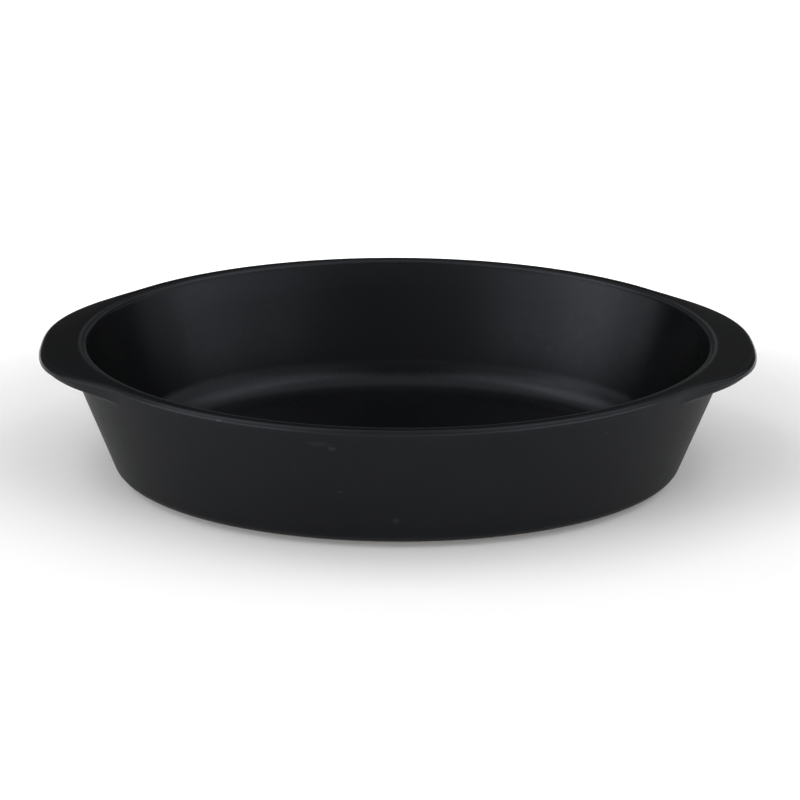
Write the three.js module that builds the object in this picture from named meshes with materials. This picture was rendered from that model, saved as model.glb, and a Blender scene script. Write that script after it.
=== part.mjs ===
// An oval stoneware baking dish with two lug handles. The clay body is one casting: foot, floor, leaning
// wall, rim and lugs. Three glaze coats are fused onto it, and the foot ring is left bare.
// Millimetres, +Z up, +X along the lugs. The origin is the middle of the foot's resting plane.
import * as THREE from "three";
import { mergeVertices } from "three/addons/utils/BufferGeometryUtils.js";

// Driving dimensions, all of the finished, glazed dish
const OVERALL_LENGTH = 330; // tip to tip over the lugs
const RIM_LENGTH = 306; // the oval rim, lugs left out
const RIM_WIDTH = 212;
const HEIGHT = 66.5; // table to rim
const WALL_LEAN = 19; // degrees that the wall leans outwards
const WALL_THICKNESS = 6; // square to the wall, at the sides
const END_THICKENING = 3.8; // how much thicker the wall is at the lugs, level
const FLOOR_THICKNESS = 6;
const RIM_EDGE_RADIUS = 2.2; // both edges of the flat rim
const COVE_RADIUS = 18; // between floor and wall, inside
const BASE_RADIUS = 8; // between wall and underside, outside

const LUG_OVAL_WIDTH = 152; // width of the long oval whose two ends are the lugs
const LUG_OVAL_POWER = 2.55; // 2 is an ellipse, more is blunter
const LUG_BLEND = 5; // how softly the lugs' outline runs into the rim's
const LUG_EDGE_THICKNESS = 5.4; // at the tip
const LUG_ROOT_THICKNESS = 8.7; // where the underside meets the wall
const LUG_ROOT_FILLET = 3;
const LUG_LOWER_RADIUS = 2; // the lug's lower edge
const LUG_DROP = 2.3; // how far the top falls from the rim to the tip
const LUG_CROWN = 0.4; // share of that drop which is reached halfway out

const FOOT_HEIGHT = 1.5; // below the glazed underside
const FOOT_WIDTH = 8;
const FOOT_SETBACK = 2.5; // from the end of the base's rounding to the foot
const FOOT_FLANK = 0.8; // how far each side of the foot leans
const GLAZE = 0.5; // thickness of each coat
const BARE_MARGIN = 1.5; // clay wiped clean of glaze inside the foot

const COLUMNS = 72; // points round each ring
const ARC_STEPS = 3; // rings on an edge or the base's rounding
const COVE_STEPS = 5;

// Sizes that follow from the driving dimensions
const LEAN = THREE.MathUtils.degToRad(WALL_LEAN);
const SQUARE = Math.PI / 2;
const ARC_MIDDLE = 1 - Math.SQRT1_2; // middle of a quarter rounding, as a share of its radius from each side
const HALF_LENGTH = RIM_LENGTH / 2;
const HALF_WIDTH = RIM_WIDTH / 2;
const LUG_REACH = (OVERALL_LENGTH - RIM_LENGTH) / 2;
const FLOOR_TOP = FOOT_HEIGHT + FLOOR_THICKNESS;
const CLAY_UNDERSIDE = FOOT_HEIGHT + GLAZE;
const WALL_ACROSS = WALL_THICKNESS / Math.cos(LEAN); // level distance through the wall

// The section is drawn as insets from the rim's oval and heights above the table.
const edgeHeight = HEIGHT - RIM_EDGE_RADIUS;
const outerEdge = { inset: RIM_EDGE_RADIUS, z: edgeHeight };

// Inset of the wall's outer face, which is tangent to the rim's outer edge, at a height.
function wallOutside(z) {
  const tangentInset = RIM_EDGE_RADIUS * (1 - Math.cos(LEAN));
  const tangentHeight = edgeHeight - RIM_EDGE_RADIUS * Math.sin(LEAN);
  return tangentInset + (tangentHeight - z) * Math.tan(LEAN);
}

// Centre of a rounding of that radius, at a height, which touches a wall face from the side given by sign.
function besideWall(z, radius, across, sign) {
  return { inset: wallOutside(z) + across + (sign * radius) / Math.cos(LEAN), z };
}

const innerEdge = besideWall(edgeHeight, RIM_EDGE_RADIUS, WALL_ACROSS, -1);
const cove = besideWall(FLOOR_TOP + COVE_RADIUS, COVE_RADIUS, WALL_ACROSS, 1);
const baseCorner = besideWall(FOOT_HEIGHT + BASE_RADIUS, BASE_RADIUS, 0, 1);
const footOutside = baseCorner.inset + FOOT_SETBACK;
const footInside = footOutside + FOOT_WIDTH;

// Radius of an oval in a direction from its centre.
function ovalRadius(halfLength, halfWidth, power, angle) {
  const along = Math.abs(Math.cos(angle) / halfLength) ** power;
  const across = Math.abs(Math.sin(angle) / halfWidth) ** power;
  return (along + across) ** (-1 / power);
}

function smoothMax(a, b, blend) {
  const overlap = Math.max(blend - Math.abs(a - b), 0);
  return Math.max(a, b) + overlap ** 2 / (4 * blend);
}

// How far the lugs' outline reaches past the rim's oval in a direction.
function lugReach(angle) {
  const rim = ovalRadius(HALF_LENGTH, HALF_WIDTH, 2, angle);
  const lug = ovalRadius(OVERALL_LENGTH / 2, LUG_OVAL_WIDTH / 2, LUG_OVAL_POWER, angle);
  return smoothMax(rim, lug, LUG_BLEND) - rim;
}

// Directions round the oval, closer together at its tighter ends, with the lugs' reach in each.
const directions = Array.from({ length: COLUMNS }, (_, column) => {
  const turn = (2 * Math.PI * column) / COLUMNS;
  const angle = Math.atan2(HALF_WIDTH * Math.sin(turn), HALF_LENGTH * Math.cos(turn));
  return { angle, reach: lugReach(angle) };
});

// One ring of the dish: an inset from the rim's oval, a further inset at its ends, a height, and the share
// of the lugs' reach that it takes. On the lugs' top, drop is how far the ring sinks at their tips.
function ring({ inset, ends = 0, z, share = 0, drop = 0 }) {
  return directions.map(({ angle, reach }) => {
    const oval = ovalRadius(HALF_LENGTH - inset - ends, HALF_WIDTH - inset, 2, angle);
    const radius = oval + share * reach;
    const sunk = z - (drop * reach) / LUG_REACH;
    return new THREE.Vector3(radius * Math.cos(angle), radius * Math.sin(angle), sunk);
  });
}

// Section points on a rounding, with turn 0 level towards the outside and a positive turn upwards.
function rounding(centre, radius, from, to, steps, extra = {}) {
  return Array.from({ length: steps + 1 }, (_, step) => {
    const turn = from + ((to - from) * step) / steps;
    const inset = centre.inset - radius * Math.cos(turn);
    return { inset, z: centre.z + radius * Math.sin(turn), ...extra };
  });
}

// Section of the lugs' underside at a depth below the glaze, from the wall out to the edge.
function lugUnderside(depth) {
  const root = HEIGHT - LUG_ROOT_THICKNESS;
  const lowerEdge = HEIGHT - LUG_DROP - LUG_EDGE_THICKNESS;
  const cornerShare = LUG_LOWER_RADIUS / LUG_REACH;
  const filletShare = LUG_ROOT_FILLET / LUG_REACH;
  const points = [
    { z: root - LUG_ROOT_FILLET, share: 0 },
    { z: root - LUG_ROOT_FILLET * ARC_MIDDLE, share: filletShare * ARC_MIDDLE },
    { z: root, share: filletShare },
    { z: lowerEdge, share: 1 - cornerShare },
    { z: lowerEdge + LUG_LOWER_RADIUS * ARC_MIDDLE, share: 1 - cornerShare * ARC_MIDDLE },
    { z: lowerEdge + LUG_LOWER_RADIUS, share: 1 },
  ];
  const level = depth / Math.cos(LEAN);
  return points.map(({ z, share }) => ({ inset: wallOutside(z) + level, z: z + depth, share }));
}

// Outer face at a depth below the glaze: base rounding, wall, lugs, outer edge and top of the rim.
function outside(depth) {
  const top = HEIGHT - depth;
  const middle = (outerEdge.inset + innerEdge.inset) / 2;
  const lugTop = { share: 1, drop: LUG_DROP };
  const halfway = { share: 1 / 2, ends: END_THICKENING / 2, drop: LUG_DROP * LUG_CROWN };
  return [
    ...rounding(baseCorner, BASE_RADIUS - depth, -SQUARE, -LEAN, ARC_STEPS),
    ...lugUnderside(depth),
    ...rounding(outerEdge, RIM_EDGE_RADIUS - depth, -LEAN, 0, 1, lugTop),
    ...rounding(outerEdge, RIM_EDGE_RADIUS - depth, 0, SQUARE, ARC_STEPS, lugTop).slice(1),
    { inset: middle, z: top, ...halfway },
    { inset: innerEdge.inset, ends: END_THICKENING, z: top },
  ].map(ring);
}

// Inner face at a depth below the glaze: the rim's inner edge, wall and cove, down to the flat floor.
function inside(depth) {
  const well = { ends: END_THICKENING };
  return [
    ...rounding(innerEdge, RIM_EDGE_RADIUS - depth, SQUARE, Math.PI - LEAN, ARC_STEPS, well),
    ...rounding(cove, COVE_RADIUS + depth, -LEAN, -SQUARE, COVE_STEPS, well),
  ].map(ring);
}

// Underside of the clay, from the recess inside the foot to just outside it.
function foot() {
  return [
    { inset: footInside + FOOT_FLANK, z: CLAY_UNDERSIDE },
    { inset: footInside, z: 0 },
    { inset: footOutside, z: 0 },
    { inset: footOutside - FOOT_FLANK, z: CLAY_UNDERSIDE },
  ].map(ring);
}

// Recess inside the foot, at a height, where the base's glaze lies.
function recess(z) {
  return ring({ inset: footInside + FOOT_FLANK + BARE_MARGIN, z });
}

// Triangles between neighbouring rings. They face out where the rings run from the underside up the outside.
function sheet(rings) {
  const triangles = [];
  for (let band = 0; band + 1 < rings.length; band++) {
    for (let column = 0; column < COLUMNS; column++) {
      const next = (column + 1) % COLUMNS;
      const [a, b] = [rings[band][column], rings[band][next]];
      const [c, d] = [rings[band + 1][next], rings[band + 1][column]];
      triangles.push([a, b, c], [a, c, d]);
    }
  }
  return triangles;
}

// Flat disc that fills a level ring, facing up.
function disc(points) {
  const centre = new THREE.Vector3(0, 0, points[0].z);
  return points.map((point, column) => [centre, point, points[(column + 1) % COLUMNS]]);
}

function turned(triangles) {
  return triangles.map(([a, b, c]) => [a, c, b]);
}

function solid(...sheets) {
  const geometry = new THREE.BufferGeometry().setFromPoints(sheets.flat(2));
  return mergeVertices(geometry);
}

const biscuit = new THREE.MeshStandardMaterial({ color: 0x8d7f70, roughness: 0.9, metalness: 0 });
const outerGlaze = new THREE.MeshStandardMaterial({ color: 0x1f1f20, roughness: 0.45, metalness: 0 });
const innerGlaze = new THREE.MeshStandardMaterial({ color: 0x1c1c1d, roughness: 0.4, metalness: 0 });

function piece(name, geometry, material) {
  const mesh = new THREE.Mesh(geometry, material);
  mesh.name = name;
  return mesh;
}

// The coats share their inner faces with the clay and meet each other along the rim's inner edge.
const glazeOutside = outside(0);
const glazeInside = inside(0);
const clayOutside = outside(GLAZE);
const clayInside = inside(GLAZE);
const clayRings = [...foot(), ...clayOutside, ...clayInside.slice(1)];

const clay = solid(turned(disc(clayRings[0])), sheet(clayRings), disc(clayRings.at(-1)));
const outerCoat = solid(
  sheet([clayOutside[0], ...glazeOutside, clayOutside.at(-1)]),
  turned(sheet(clayOutside)),
);
const innerCoat = solid(
  sheet([clayInside[0], ...glazeInside]),
  disc(glazeInside.at(-1)),
  turned(sheet(clayInside)),
  turned(disc(clayInside.at(-1))),
);
const baseCoat = solid(
  turned(disc(recess(FOOT_HEIGHT))),
  sheet([recess(FOOT_HEIGHT), recess(CLAY_UNDERSIDE)]),
  disc(recess(CLAY_UNDERSIDE)),
);

const dish = new THREE.Group();
dish.name = "oval_baking_dish";
dish.add(
  piece("stoneware_body", clay, biscuit),
  piece("outer_glaze", outerCoat, outerGlaze),
  piece("inner_glaze", innerCoat, innerGlaze),
  piece("base_glaze", baseCoat, outerGlaze),
);

export default dish;
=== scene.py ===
import math
from typing import NamedTuple

import bpy
import numpy as np
from mathutils import Matrix, Vector


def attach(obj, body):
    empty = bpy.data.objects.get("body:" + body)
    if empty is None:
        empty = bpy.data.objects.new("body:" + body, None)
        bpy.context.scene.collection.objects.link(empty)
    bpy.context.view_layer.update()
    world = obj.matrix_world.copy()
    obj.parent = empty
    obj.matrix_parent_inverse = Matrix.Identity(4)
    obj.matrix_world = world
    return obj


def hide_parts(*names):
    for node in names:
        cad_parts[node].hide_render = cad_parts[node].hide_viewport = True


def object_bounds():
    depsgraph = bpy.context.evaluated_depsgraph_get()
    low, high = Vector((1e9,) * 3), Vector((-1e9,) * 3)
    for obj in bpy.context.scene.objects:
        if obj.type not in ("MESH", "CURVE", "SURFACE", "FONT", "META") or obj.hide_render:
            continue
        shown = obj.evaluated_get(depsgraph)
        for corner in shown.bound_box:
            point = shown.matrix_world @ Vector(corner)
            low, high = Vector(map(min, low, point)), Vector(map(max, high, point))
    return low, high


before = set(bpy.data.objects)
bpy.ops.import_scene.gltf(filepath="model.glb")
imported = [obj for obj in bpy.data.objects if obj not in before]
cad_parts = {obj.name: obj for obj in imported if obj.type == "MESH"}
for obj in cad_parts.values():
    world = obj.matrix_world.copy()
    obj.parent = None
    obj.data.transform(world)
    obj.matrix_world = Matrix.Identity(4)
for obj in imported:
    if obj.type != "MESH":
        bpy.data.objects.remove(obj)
cad_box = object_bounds()

# An oval stoneware baking dish with two lugs, glazed satin black, on a plain pale floor.
# Sections are drawn in millimetres and meshes are made in metres. +X runs through the lugs and +Z is up.
MM = 0.001
lowest, highest = (corner / MM for corner in cad_box)
OVERALL_LENGTH = highest.x - lowest.x
RIM_WIDTH = highest.y - lowest.y
HEIGHT = highest.z

# Sizes of the glazed dish, as in the solids
RIM_LENGTH = 306
LEAN = math.radians(19)
WALL_THICKNESS = 6
END_THICKENING = 3.8
RIM_EDGE_RADIUS = 2.2
COVE_RADIUS = 18
BASE_RADIUS = 8
FLOOR_THICKNESS = 6
LUG_OVAL_WIDTH = 152
LUG_OVAL_POWER = 2.55
LUG_BLEND = 5
LUG_EDGE_THICKNESS = 5.4
LUG_ROOT_THICKNESS = 8.7
LUG_ROOT_FILLET = 3
LUG_LOWER_RADIUS = 2
LUG_DROP = 2.3
LUG_FALL_POWER = 1.32  # shape of the lugs' top: 1 is straight, more is rounder towards the tip
FOOT_HEIGHT = 1.5
FOOT_WIDTH = 8
FOOT_SETBACK = 2.5
FOOT_FLANK = 0.8
GLAZE = 0.5
BARE_MARGIN = 1.5

# Finer forms of the fired dish
WELL_EDGE_RADIUS = 3  # the rim's inner edge, where the glaze softens it
FOOT_EDGE_RADIUS = 0.7
LIP_RUN = 0.5  # how far the outer coat runs in past the base's rounding
LIP_WAVE = 0.4  # how far the coats' lower edges wander
SEAM_RUN = 0.08  # where the coats meet on the rim, as a share of the way from the well's edge
THIN_HIGHLIGHT_EDGE = 1.5  # distance over which the glaze thins, and its painted highlight fades, towards the rim's edges

# Sizes that follow
HALF_LENGTH = RIM_LENGTH / 2
HALF_WIDTH = RIM_WIDTH / 2
LUG_REACH = (OVERALL_LENGTH - RIM_LENGTH) / 2
FLOOR_TOP = FOOT_HEIGHT + FLOOR_THICKNESS
CLAY_UNDERSIDE = FOOT_HEIGHT + GLAZE
WALL_ACROSS = WALL_THICKNESS / math.cos(LEAN)
MIDDLE = Vector((0, 0, HEIGHT * MM / 2))
SQUARE = math.pi / 2
HALF_TURN = math.pi


class Steps(NamedTuple):
    """Rings on each stretch of a section."""
    arc: int
    cove: int
    wall: int
    top: int


# Fineness of the meshes: points round a ring, rings on a section, and the rings that fill a flat area
COLUMNS = 288
FINE = Steps(arc=14, cove=22, wall=12, top=10)
COARSE = Steps(arc=4, cove=6, wall=1, top=4)
FLAT_SCALES = (0.99, 0.93, 0.8, 0.6, 0.4, 0.2)
SHARP_ANGLE = math.radians(50)


class Spot(NamedTuple):
    """A point of the section: its inset from the rim's oval and its height. ends is a further inset at the
    oval's ends, share the part of the lugs' reach that it takes, drop how far it sinks at the lugs' tips,
    wave how much it follows the uneven edge of a coat, and scale shrinks its ring towards the middle."""
    inset: float
    z: float
    ends: float = 0.0
    share: float = 0.0
    drop: float = 0.0
    wave: float = 0.0
    scale: float = 1.0


def spread(steps):
    """Values from 0 to 1, closer together at both ends."""
    return [(1 - math.cos(math.pi * step / steps)) / 2 for step in range(steps + 1)]


def between(first, last, steps):
    """Spots on the straight stretch between two spots, both left out."""
    start, run = np.array(first), np.array(last) - np.array(first)
    return [Spot(*(start + run * share)) for share in spread(steps)[1:-1]]


def on_rounding(centre, radius, turn, **extra):
    """The spot on a rounding at a turn: 0 faces the outside of the dish, and a quarter turn faces up."""
    return Spot(centre.inset - radius * math.cos(turn), centre.z + radius * math.sin(turn), **extra)


def rounding(centre, radius, start, end, steps, **extra):
    """Spots on a rounding from one turn to another."""
    return [on_rounding(centre, radius, turn, **extra) for turn in np.linspace(start, end, steps + 1)]


def wall_outside(z):
    """Inset of the wall's outer face at a height."""
    tangent_inset = RIM_EDGE_RADIUS * (1 - math.cos(LEAN))
    tangent_height = HEIGHT - RIM_EDGE_RADIUS * (1 + math.sin(LEAN))
    return tangent_inset + (tangent_height - z) * math.tan(LEAN)


def beside_wall(z, radius, across, sign):
    """Centre of a rounding at a height that touches a face of the wall."""
    return Spot(wall_outside(z) + across + sign * radius / math.cos(LEAN), z)


OUTER_EDGE = Spot(RIM_EDGE_RADIUS, HEIGHT - RIM_EDGE_RADIUS)
INNER_EDGE = beside_wall(HEIGHT - WELL_EDGE_RADIUS, WELL_EDGE_RADIUS, WALL_ACROSS, -1)
COVE = beside_wall(FLOOR_TOP + COVE_RADIUS, COVE_RADIUS, WALL_ACROSS, 1)
BASE_CORNER = beside_wall(FOOT_HEIGHT + BASE_RADIUS, BASE_RADIUS, 0, 1)
FOOT_OUTSIDE = BASE_CORNER.inset + FOOT_SETBACK
FOOT_INSIDE = FOOT_OUTSIDE + FOOT_WIDTH
TOP_SPAN = LUG_REACH + END_THICKENING + INNER_EDGE.inset - OUTER_EDGE.inset


def oval_radius(half_length, half_width, power, angle):
    """Distance from the middle to an oval. A power of 2 is an ellipse, and more is blunter."""
    along = np.abs(np.cos(angle) / half_length) ** power
    across = np.abs(np.sin(angle) / half_width) ** power
    return (along + across) ** (-1 / power)


def lug_reach(angle):
    """How far the lugs' outline reaches past the rim's oval in each direction."""
    rim = oval_radius(HALF_LENGTH, HALF_WIDTH, 2, angle)
    lug = oval_radius(OVERALL_LENGTH / 2, LUG_OVAL_WIDTH / 2, LUG_OVAL_POWER, angle)
    overlap = np.maximum(LUG_BLEND - np.abs(rim - lug), 0)
    return np.maximum(rim, lug) + overlap**2 / (4 * LUG_BLEND) - rim


turns = np.linspace(0, 2 * math.pi, COLUMNS, endpoint=False)
ANGLES = np.arctan2(HALF_WIDTH * np.sin(turns), HALF_LENGTH * np.cos(turns))
REACH = lug_reach(ANGLES)
# The uneven edge of a brushed coat: a few slow waves round the foot, by number, height and start
WAVE_SHAPES = ((3, 1.0, 0.4), (7, 0.8, 2.1), (17, 0.6, 5.2))
WAVES = sum(height * np.sin(number * turns + start) for number, height, start in WAVE_SHAPES)
WAVES /= sum(height for _, height, _ in WAVE_SHAPES)


def ring(spot):
    """Points of one ring, in millimetres."""
    oval = oval_radius(HALF_LENGTH - spot.inset - spot.ends, HALF_WIDTH - spot.inset, 2, ANGLES)
    radius = (oval + spot.share * REACH - spot.wave * LIP_WAVE * WAVES) * spot.scale
    height = spot.z - spot.drop * REACH / LUG_REACH
    return np.stack([radius * np.cos(ANGLES), radius * np.sin(ANGLES), height], axis=1)


def lug_fall(run):
    """Share of the lugs' drop at a run from the well's edge, where 1 is the start of the rounded tip."""
    if run <= 1:
        return run**LUG_FALL_POWER
    return 1 + LUG_FALL_POWER * (run - 1)


def rim_top(run, depth):
    """A spot on the top of the rim and the lugs, at a run from the well's edge and a depth in the glaze."""
    inset = INNER_EDGE.inset + (OUTER_EDGE.inset - INNER_EDGE.inset) * run
    return Spot(inset, HEIGHT - depth, END_THICKENING * (1 - run), run, LUG_DROP * lug_fall(run))


def outer_edge(depth, steps):
    """The rim's and the lugs' rounded outer edge."""
    arc = rounding(OUTER_EDGE, RIM_EDGE_RADIUS - depth, -LEAN, SQUARE, steps, share=1.0)
    runs = [1 + (OUTER_EDGE.inset - spot.inset) / TOP_SPAN for spot in arc]
    return [spot._replace(drop=LUG_DROP * lug_fall(run)) for spot, run in zip(arc, runs)]


def lug_underside(depth, steps):
    """From the wall round the root's fillet, out along the underside and up the lower edge."""
    root = HEIGHT - LUG_ROOT_THICKNESS
    lower = HEIGHT - LUG_DROP - LUG_EDGE_THICKNESS
    slope = math.atan2(lower - root, LUG_REACH - LUG_ROOT_FILLET - LUG_LOWER_RADIUS)

    def spot(reach, z):
        return Spot(wall_outside(z) + depth / math.cos(LEAN), z + depth, share=reach / LUG_REACH)

    fillet = [
        spot(LUG_ROOT_FILLET * (1 - math.cos(turn)), root - LUG_ROOT_FILLET * (1 - math.sin(turn)))
        for turn in np.linspace(0, SQUARE - slope, steps.arc + 1)
    ]
    edge = [
        spot(
            LUG_REACH - LUG_LOWER_RADIUS * (1 - math.sin(turn)),
            lower + LUG_LOWER_RADIUS * (1 - math.cos(turn)),
        )
        for turn in np.linspace(slope, SQUARE, steps.arc + 1)
    ]
    return [*fillet, *between(fillet[-1], edge[0], steps.wall), *edge]


def outside(depth, steps):
    """Outer face at a depth below the glaze, from the base up to where the coats meet on the rim."""
    base = rounding(BASE_CORNER, BASE_RADIUS - depth, -SQUARE, -LEAN, steps.arc)
    under = lug_underside(depth, steps)
    edge = outer_edge(depth, steps.arc)
    runs = [1 + (SEAM_RUN - 1) * share for share in spread(steps.top)[1:]]
    top = [rim_top(run, depth) for run in runs]
    return [*base, *between(base[-1], under[0], steps.wall), *under, *edge, *top]


def inside(depth, steps):
    """Inner face at a depth below the glaze, from where the coats meet down to the middle of the floor."""
    ends = END_THICKENING
    edge = rounding(INNER_EDGE, WELL_EDGE_RADIUS - depth, SQUARE, HALF_TURN - LEAN, steps.arc, ends=ends)
    cove = rounding(COVE, COVE_RADIUS + depth, -LEAN, -SQUARE, steps.cove, ends=ends)
    top = [rim_top(SEAM_RUN * (1 - share), depth) for share in spread(steps.top // 2)[:-1]]
    return [*top, *edge, *between(edge[-1], cove[0], steps.wall), *cove, *to_middle(cove[-1])]


def to_middle(spot):
    """Rings that fill a flat area, shrinking towards its middle."""
    return [spot._replace(scale=scale) for scale in FLAT_SCALES]


def foot(steps):
    """Underside of the clay: the recess, the foot with rounded edges and the ledge outside it."""
    flank = math.atan2(FOOT_FLANK, CLAY_UNDERSIDE)
    setback = FOOT_EDGE_RADIUS * (1 - math.sin(flank)) / math.cos(flank)
    recess = Spot(FOOT_INSIDE + FOOT_FLANK, CLAY_UNDERSIDE)
    ledge = Spot(FOOT_OUTSIDE - FOOT_FLANK, CLAY_UNDERSIDE)
    inner = Spot(FOOT_INSIDE - setback, FOOT_EDGE_RADIUS)
    outer = Spot(FOOT_OUTSIDE + setback, FOOT_EDGE_RADIUS)
    inner_arc = rounding(inner, FOOT_EDGE_RADIUS, HALF_TURN + flank, 3 * SQUARE, steps.arc)
    outer_arc = rounding(outer, FOOT_EDGE_RADIUS, -SQUARE, -flank, steps.arc)
    sole = between(inner_arc[-1], outer_arc[0], steps.wall)
    return [*reversed(to_middle(recess)), recess, *inner_arc, *sole, *outer_arc, ledge]


def clay_section():
    """The foot, then up the outside under the coat, over the rim and down into the well."""
    return [*foot(FINE), *outside(GLAZE, COARSE), *inside(GLAZE, COARSE)[1:]]


def outer_coat_section():
    """A closed loop: the rounded lip by the foot, up the outside to the rim and back down along the clay."""
    lip_centre = Spot(BASE_CORNER.inset + LIP_RUN, FOOT_HEIGHT + GLAZE / 2)
    lip = rounding(lip_centre, GLAZE / 2, SQUARE, 3 * SQUARE, FINE.arc // 2, wave=1.0)
    return [*lip, *outside(0, FINE), *reversed(outside(GLAZE, COARSE))]


def inner_coat_section():
    """From the floor's middle up along the clay to the rim, and back down the face of the well."""
    return [*reversed(inside(GLAZE, COARSE)), *inside(0, FINE)]


def base_coat_section():
    """The coat in the recess, out along its underside, round its lip and back along the clay."""
    edge = Spot(FOOT_INSIDE + FOOT_FLANK + BARE_MARGIN + GLAZE / 2, FOOT_HEIGHT + GLAZE / 2)
    lip = rounding(edge, GLAZE / 2, -SQUARE, SQUARE, FINE.arc // 2, wave=1.0)
    return [*reversed(to_middle(lip[0])), *lip, *to_middle(lip[-1])]


# Where the glaze is thinnest and a paler line is painted along it as a highlight: a line on the rim's outer
# rounding and one on its inner rounding
OUTER_THIN_HIGHLIGHT_TURN = 0.45 * SQUARE
INNER_THIN_HIGHLIGHT_TURN = 1.15 * SQUARE
THIN_AND_HIGHLIGHT_LINES = (
    on_rounding(OUTER_EDGE, RIM_EDGE_RADIUS, OUTER_THIN_HIGHLIGHT_TURN, share=1.0, drop=LUG_DROP),
    on_rounding(INNER_EDGE, WELL_EDGE_RADIUS, INNER_THIN_HIGHLIGHT_TURN, ends=END_THICKENING),
)


def thinness_and_highlight(spot):
    """How thin the glaze is round a ring, from 0 to 1, which also sets how strongly the painted highlight
    shows.
    """
    gaps = [np.linalg.norm(ring(spot) - ring(line), axis=1) for line in THIN_AND_HIGHLIGHT_LINES]
    return np.exp(-((np.minimum(*gaps) / THIN_HIGHLIGHT_EDGE) ** 2))


def make_piece(name, section, closed_loop, material, node):
    """A closed mesh from a section whose rings run from the underside up the outside, over and down the
    inside. A section that isn't a closed loop starts and ends in the middle of a flat area."""
    points = np.concatenate([ring(spot) for spot in section]) * MM
    thin_and_highlight = np.concatenate([thinness_and_highlight(spot) for spot in section])
    columns = np.arange(COLUMNS)
    following = (columns + 1) % COLUMNS
    last = len(section) - 1
    bands = [(row, row + 1) for row in range(last)] + ([(last, 0)] if closed_loop else [])
    faces = []
    for row, above in bands:
        a, b = row * COLUMNS + columns, row * COLUMNS + following
        c, d = above * COLUMNS + following, above * COLUMNS + columns
        faces += np.stack([a, b, c, d], axis=1).tolist()
    if not closed_loop:
        poles = [(0, 0, section[0].z * MM), (0, 0, section[-1].z * MM)]
        start, end = len(points), len(points) + 1
        points = np.concatenate([points, poles])
        thin_and_highlight = np.append(thin_and_highlight, [0, 0])
        last_row = last * COLUMNS + columns
        faces += [[start, next_one, one] for one, next_one in zip(columns, following)]
        faces += [[end, last_row[one], last_row[next_one]] for one, next_one in zip(columns, following)]
    mesh = bpy.data.meshes.new(name)
    mesh.from_pydata(points.tolist(), [], faces)
    # per point: how thin the glaze is and how strongly the painted highlight line shows
    mesh.attributes.new("thin_glaze_and_highlight", "FLOAT", "POINT").data.foreach_set("value", thin_and_highlight.astype(np.float32))
    mesh.shade_smooth()
    mesh.set_sharp_from_angle(angle=SHARP_ANGLE)
    mesh.materials.append(material)
    piece = bpy.data.objects.new(name, mesh)
    bpy.context.scene.collection.objects.link(piece)
    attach(piece, "root")
    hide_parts(node)


class Shader:
    """Nodes of a material or of the room. Each call adds a node and gives back one of its outputs."""

    def __init__(self, owner):
        self.owner = owner
        owner.use_nodes = True
        self.tree = owner.node_tree
        self.tree.nodes.clear()

    def add(self, kind, inputs, output=0, **settings):
        made = self.tree.nodes.new("ShaderNode" + kind)
        for name, value in settings.items():
            setattr(made, name, value)
        for key, value in inputs.items():
            if isinstance(value, bpy.types.NodeSocket):
                self.tree.links.new(value, made.inputs[key])
            else:
                made.inputs[key].default_value = value
        return made.outputs[output] if made.outputs else made

    def place(self):
        return self.add("TexCoord", {}, "Object")

    def rays(self, *kinds):
        """1 for rays of these kinds, else 0."""
        path = self.add("LightPath", {}).node.outputs
        share = path[kinds[0]]
        for kind in kinds[1:]:
            share = self.math("MAXIMUM", share, path[kind])
        return share

    def noise(self, size, detail=2.0, roughness=0.5):
        """Noise with features of about that size, in millimetres, from 0 to 1."""
        inputs = {"Vector": self.place(), "Scale": 1 / (size * MM), "Detail": detail, "Roughness": roughness}
        return self.add("TexNoise", inputs)

    def remap(self, value, from_low, from_high, to_low=0.0, to_high=1.0, kind="LINEAR"):
        inputs = {"Value": value, "From Min": from_low, "From Max": from_high}
        inputs |= {"To Min": to_low, "To Max": to_high}
        return self.add("MapRange", inputs, interpolation_type=kind)

    def math(self, operation, first, second):
        return self.add("Math", {0: first, 1: second}, operation=operation)

    def mix(self, share, first, second):
        return self.add("Mix", {0: share, 6: first, 7: second}, 2, data_type="RGBA")

    def length(self, vector):
        return self.add("VectorMath", {0: vector}, "Value", operation="LENGTH")

    def specks(self, spacing, radius, kept):
        """Scattered round specks: their spacing and radius in millimetres and the share of places kept."""
        inputs = {"Vector": self.place(), "Scale": 1 / (spacing * MM)}
        cells = self.add("TexVoronoi", inputs, "Distance")
        spot = self.remap(cells, radius / spacing, 0.5 * radius / spacing)
        chance = self.add("SeparateColor", {"Color": cells.node.outputs["Color"]})
        return self.math("MULTIPLY", spot, self.math("LESS_THAN", chance, kept))

    def scuffs(self, places):
        """Pale, broken marks at given places, each strongest in its middle."""
        strongest = 0.0
        for middle, along, up, strength in places:
            scale = Vector((1 / along, 1 / along, 1 / up)) / MM
            location = -Vector(middle) * MM * scale
            offset = self.add("Mapping", {"Vector": self.place(), "Location": location, "Scale": scale})
            mark = self.remap(self.length(offset), 1.0, 0.2, 0.0, strength)
            strongest = self.math("MAXIMUM", mark, strongest)
        broken = self.remap(self.noise(0.9), 0.3, 0.6)
        return self.math("MULTIPLY", strongest, broken)

    def bump(self, height, depth, normal=None):
        """Relief of that depth, in millimetres."""
        inputs = {"Height": height, "Distance": depth * MM, "Strength": 1.0}
        if normal:
            inputs["Normal"] = normal
        return self.add("Bump", inputs)

    def finish(self, surface, output="OutputMaterial"):
        self.add(output, {"Surface": surface})
        return self.owner


def grey(level, warmth=0.0):
    """A linear colour that is grey, or a little warmer or cooler."""
    return (level * (1 + warmth), level, level * (1 - warmth), 1.0)


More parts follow.
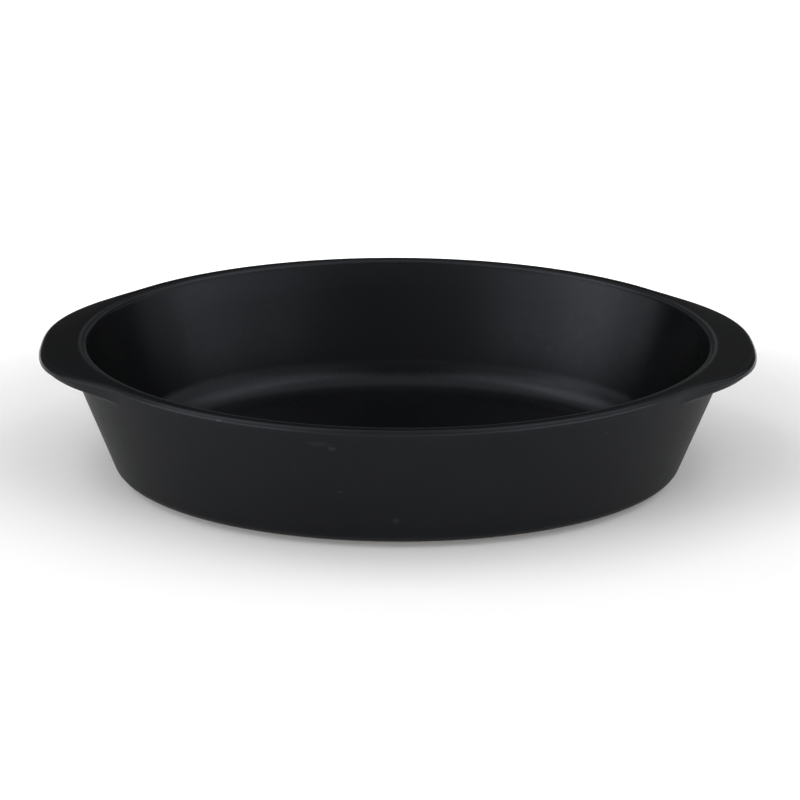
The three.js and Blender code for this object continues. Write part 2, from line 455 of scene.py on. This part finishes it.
GLAZE_TINT = -0.08  # both blacks are a little cool
GLAZE_CLOUDING = (0.85, 1.2)  # darkest and palest tone of the clouds, as shares of the glaze's own
SHEEN_TINT = (0.97, 1.0, 1.14, 1.0)
DUST = grey(0.045, 0.02)
DUST_STRENGTH = 0.6
EDGE_ROUGHNESS = 0.2  # the rim's edges are smoother than the walls
CLOUD_ROUGHNESS = 0.02  # how far the sheen varies in the clouds, up and down
BLOOM_ROUGHNESS = (-0.01, 0.015)  # and in finer patches
PEEL_DEPTH = 0.006
GRAIN_DEPTH = 0.004

# Marks that the dish shows: middle, half sizes along and up, in millimetres, and strength
OUTER_SCUFFS = (
    ((-35.5, -101, 58.5), 6.5, 1.5, 0.25),
    ((-29.5, -101.4, 56.3), 2.2, 1.5, 0.4),
    ((-46, -94.1, 44), 0.9, 2.0, 0.2),
    ((-26.2, -93.5, 32.2), 1.6, 1.1, 0.3),
    ((-2, -89.6, 16.2), 2.2, 2.4, 0.35),
    ((88.6, -83.2, 55.5), 1.0, 1.0, 0.4),
    ((-78, -91.3, 65), 1.2, 0.9, 1.0),
)
INNER_SCUFFS = (
    ((71.1, 76.1, 36), 1.4, 1.8, 0.2),
    ((76.1, 71.8, 30.5), 1.8, 1.4, 0.25),
)


def glaze_material(name, level, thin_edge_highlight_level, roughness, specular, scuffs):
    """Satin black glaze: faint clouds, orange peel, pinholes, a few scuffs, and thin edges that are smoother
    and paler; the paler colour of the edges is partly a painted highlight."""
    shader = Shader(bpy.data.materials.new(name))
    clouds = shader.noise(45, detail=3)
    bloom = shader.noise(6, detail=3)
    peel = shader.noise(1.8, detail=1)
    grain = shader.noise(0.35, detail=1)
    dust = shader.specks(spacing=5, radius=0.16, kept=0.1)
    pinholes = shader.specks(spacing=3.1, radius=0.14, kept=0.03)
    thin_and_highlight = shader.add("Attribute", {}, "Fac", attribute_name="thin_glaze_and_highlight")

    tones = [grey(level * share, GLAZE_TINT) for share in GLAZE_CLOUDING]
    body = shader.mix(shader.remap(clouds, 0.35, 0.65), *tones)
    # painted highlight: the thin edges get a paler colour, partly thin glaze and partly a painted highlight
    # line along the rim
    body = shader.mix(thin_and_highlight, body, grey(thin_edge_highlight_level, GLAZE_TINT))
    pale = shader.math("MAXIMUM", shader.math("MULTIPLY", dust, DUST_STRENGTH), shader.scuffs(scuffs))
    colour = shader.mix(pale, body, DUST)

    soft = shader.remap(clouds, 0.3, 0.7, roughness - CLOUD_ROUGHNESS, roughness + CLOUD_ROUGHNESS)
    soft = shader.math("SUBTRACT", soft, shader.math("MULTIPLY", thin_and_highlight, roughness - EDGE_ROUGHNESS))
    satin = shader.math("ADD", soft, shader.remap(bloom, 0.3, 0.7, *BLOOM_ROUGHNESS))

    pitted = shader.math("SUBTRACT", grain, pinholes)
    surface = shader.bump(pitted, GRAIN_DEPTH, shader.bump(peel, PEEL_DEPTH))
    inputs = {"Base Color": colour, "Roughness": satin, "Normal": surface}
    inputs |= {"Specular IOR Level": specular, "Specular Tint": SHEEN_TINT}
    return shader.finish(shader.add("BsdfPrincipled", inputs))


CLAY_PALE = (0.36, 0.285, 0.215, 1.0)
CLAY_DARK = (0.24, 0.185, 0.14, 1.0)
CLAY_SPECULAR = 0.3
IRON = (0.07, 0.045, 0.03, 1.0)
IRON_STRENGTH = 0.8
SAND_STRENGTH = 0.35
SAND_ROUGHNESS = (0.82, 0.95)
SAND_DEPTH = 0.08


def stoneware_material():
    """Bare fired stoneware: sandy grain, iron specks and a scorched tone in clouds."""
    shader = Shader(bpy.data.materials.new("bare_stoneware"))
    clouds = shader.noise(22, detail=4)
    sand = shader.noise(0.6, detail=3, roughness=0.65)
    iron = shader.specks(spacing=2.6, radius=0.3, kept=0.25)
    body = shader.mix(shader.remap(clouds, 0.3, 0.7), CLAY_DARK, CLAY_PALE)
    sandy = shader.mix(shader.remap(sand, 0.35, 0.75, 0.0, SAND_STRENGTH), body, CLAY_DARK)
    colour = shader.mix(shader.math("MULTIPLY", iron, IRON_STRENGTH), sandy, IRON)
    roughness = shader.remap(sand, 0.3, 0.7, *SAND_ROUGHNESS)
    inputs = {"Base Color": colour, "Roughness": roughness, "Normal": shader.bump(sand, SAND_DEPTH)}
    inputs["Specular IOR Level"] = CLAY_SPECULAR
    return shader.finish(shader.add("BsdfPrincipled", inputs))


# The floor, in metres
FLOOR_HALF = 10.0
FLOOR_Z = -0.0002  # just under the foot
FLOOR_COLOUR = grey(0.9)
FLOOR_GLOW_NEAR = 0.06  # white that the floor adds by itself beside the dish, where its shadow falls
FLOOR_GLOW_RADII = (0.22, 0.5)  # distances along the dish over which that grows to full white


def floor_material():
    """Pale matt floor that shows as white away from the dish, and keeps the shadow beside it."""
    shader = Shader(bpy.data.materials.new("pale_floor"))
    diffuse = shader.add("BsdfDiffuse", {"Color": FLOOR_COLOUR})
    oval = (1.0, HALF_LENGTH / HALF_WIDTH, 0.0)
    stretched = shader.add("VectorMath", {0: shader.place(), 1: oval}, operation="MULTIPLY")
    distance = shader.length(stretched)
    glow = shader.remap(distance, *FLOOR_GLOW_RADII, FLOOR_GLOW_NEAR, 1.0, kind="SMOOTHSTEP")
    seen = shader.rays("Is Camera Ray", "Is Glossy Ray", "Is Transmission Ray")
    white = shader.add("Emission", {"Strength": shader.math("MULTIPLY", seen, glow)})
    return shader.finish(shader.add("AddShader", {0: diffuse, 1: white}))


def make_floor():
    mesh = bpy.data.meshes.new("floor")
    signs = ((-1, -1), (1, -1), (1, 1), (-1, 1))
    corners = [(x * FLOOR_HALF, y * FLOOR_HALF, FLOOR_Z) for x, y in signs]
    mesh.from_pydata(corners, [], [(0, 1, 2, 3)])
    mesh.materials.append(floor_material())
    floor = bpy.data.objects.new("floor", mesh)
    bpy.context.scene.collection.objects.link(floor)


def towards(azimuth, elevation):
    """Unit direction from the dish. Azimuth 0 is the front, and positive turns to the right."""
    flat = math.cos(math.radians(elevation))
    turn = math.radians(azimuth)
    return Vector((flat * math.sin(turn), -flat * math.cos(turn), math.sin(math.radians(elevation))))


def aim(thing, azimuth, elevation, distance):
    """Place a thing round the dish, facing its middle."""
    thing.location = MIDDLE + distance * towards(azimuth, elevation)
    thing.rotation_euler = (MIDDLE - thing.location).to_track_quat("-Z", "Y").to_euler()


# A tent of soft panels round and over the dish: the elevation of each row, the panels' width and height in
# metres, and their brightness by azimuth
TENT_RADIUS = 1.5
TENT = (
    (2.5, 0.637, 0.131, {-60: 11, -36: 12, 12: 4.5, 36: 12, 60: 11}),
    (7, 0.633, 0.368, {180: 0.15}),
    (9.5, 0.629, 0.236, {-84: 2.2, -60: 3.9, -36: 3.4, 36: 2, 60: 2.4, 84: 0.9}),
    (21, 0.595, 0.368, {-156: 0.2, -84: 1.2, -60: 2.6, -36: 1.2, -12: 0.7}),
    (21, 0.595, 0.368, {12: 0.5, 36: 0.9, 60: 1.3, 84: 1.3, 108: 0.9, 156: 0.3}),
    (38, 0.633, 0.529, {-150: 0.15, -90: 0.6, -60: 2.6, -30: 0.7, 0: 0.2}),
    (38, 0.633, 0.529, {30: 0.8, 60: 1.4, 90: 1, 150: 0.3}),
    (60, 0.621, 0.638, {-135: 0.8, -90: 3.3, -45: 2, 45: 2, 90: 2.3, 135: 0.8}),
    (90, 0.86, 0.86, {0: 0.9}),
)


def panel(azimuth, elevation, width, height, brightness):
    lamp = bpy.data.lights.new("panel", "AREA")
    lamp.shape = "RECTANGLE"
    lamp.size = width
    lamp.size_y = height
    lamp.energy = brightness * math.pi * width * height
    holder = bpy.data.objects.new("panel", lamp)
    holder.visible_camera = False
    bpy.context.scene.collection.objects.link(holder)
    aim(holder, azimuth, elevation, TENT_RADIUS)


def light_studio():
    for elevation, width, height, row in TENT:
        for azimuth, brightness in row.items():
            panel(azimuth, elevation, width, height, brightness)


ROOM_LIGHT = 0.01


def make_room():
    """White to the eye beyond the floor, and dim otherwise, so the glaze stays dark between the panels."""
    shader = Shader(bpy.data.worlds.new("pale_room"))
    seen = shader.rays("Is Camera Ray", "Is Transmission Ray")
    strength = shader.remap(seen, 0.0, 1.0, ROOM_LIGHT, 1.0)
    background = shader.add("Background", {"Color": grey(1.0), "Strength": strength})
    bpy.context.scene.world = shader.finish(background, "OutputWorld")


# The view of the photograph, found by fitting the dish's outline
IMAGE_SIZE = 800
SENSOR_WIDTH = 36
VIEW_CENTRE = (397.87, 402.12)  # pixel of the dish's middle
VIEW_AZIMUTH = -1.0
VIEW_ELEVATION = 23.85
VIEW_ROLL = 0.46
VIEW_DISTANCE = 1.10609
PIXELS_PER_MM = 2.14  # at the dish's middle


def make_camera():
    camera = bpy.data.cameras.new("camera")
    focal_pixels = PIXELS_PER_MM * VIEW_DISTANCE / MM
    camera.sensor_width = SENSOR_WIDTH
    camera.lens = focal_pixels * SENSOR_WIDTH / IMAGE_SIZE
    camera.shift_x = (IMAGE_SIZE / 2 - VIEW_CENTRE[0]) / IMAGE_SIZE
    camera.shift_y = (VIEW_CENTRE[1] - IMAGE_SIZE / 2) / IMAGE_SIZE
    holder = bpy.data.objects.new("camera", camera)
    bpy.context.scene.collection.objects.link(holder)
    aim(holder, VIEW_AZIMUTH, VIEW_ELEVATION, VIEW_DISTANCE)
    roll = Matrix.Rotation(math.radians(VIEW_ROLL), 3, "Z")
    holder.rotation_euler = (holder.rotation_euler.to_matrix() @ roll).to_euler()
    bpy.context.scene.camera = holder


make_camera()
# Painted shade: both coats carry one satin black glaze, but the outer copy is given a darker base colour,
# edge colour and specular level, so the outside shows darker than the floor's light would make it.
outer_glaze = glaze_material(
    "outer_glaze", level=0.0026, thin_edge_highlight_level=0.01, roughness=0.45, specular=0.115, scuffs=OUTER_SCUFFS
)
inner_glaze = glaze_material(
    "inner_glaze", level=0.0032, thin_edge_highlight_level=0.015, roughness=0.28, specular=0.18, scuffs=INNER_SCUFFS
)
make_piece("clay_body", clay_section(), False, stoneware_material(), "stoneware_body")
make_piece("outer_coat", outer_coat_section(), True, outer_glaze, "outer_glaze")
make_piece("inner_coat", inner_coat_section(), False, inner_glaze, "inner_glaze")
make_piece("base_coat", base_coat_section(), False, outer_glaze, "base_glaze")
make_floor()
light_studio()
make_room()
bpy.context.scene.view_settings.view_transform = "Standard"
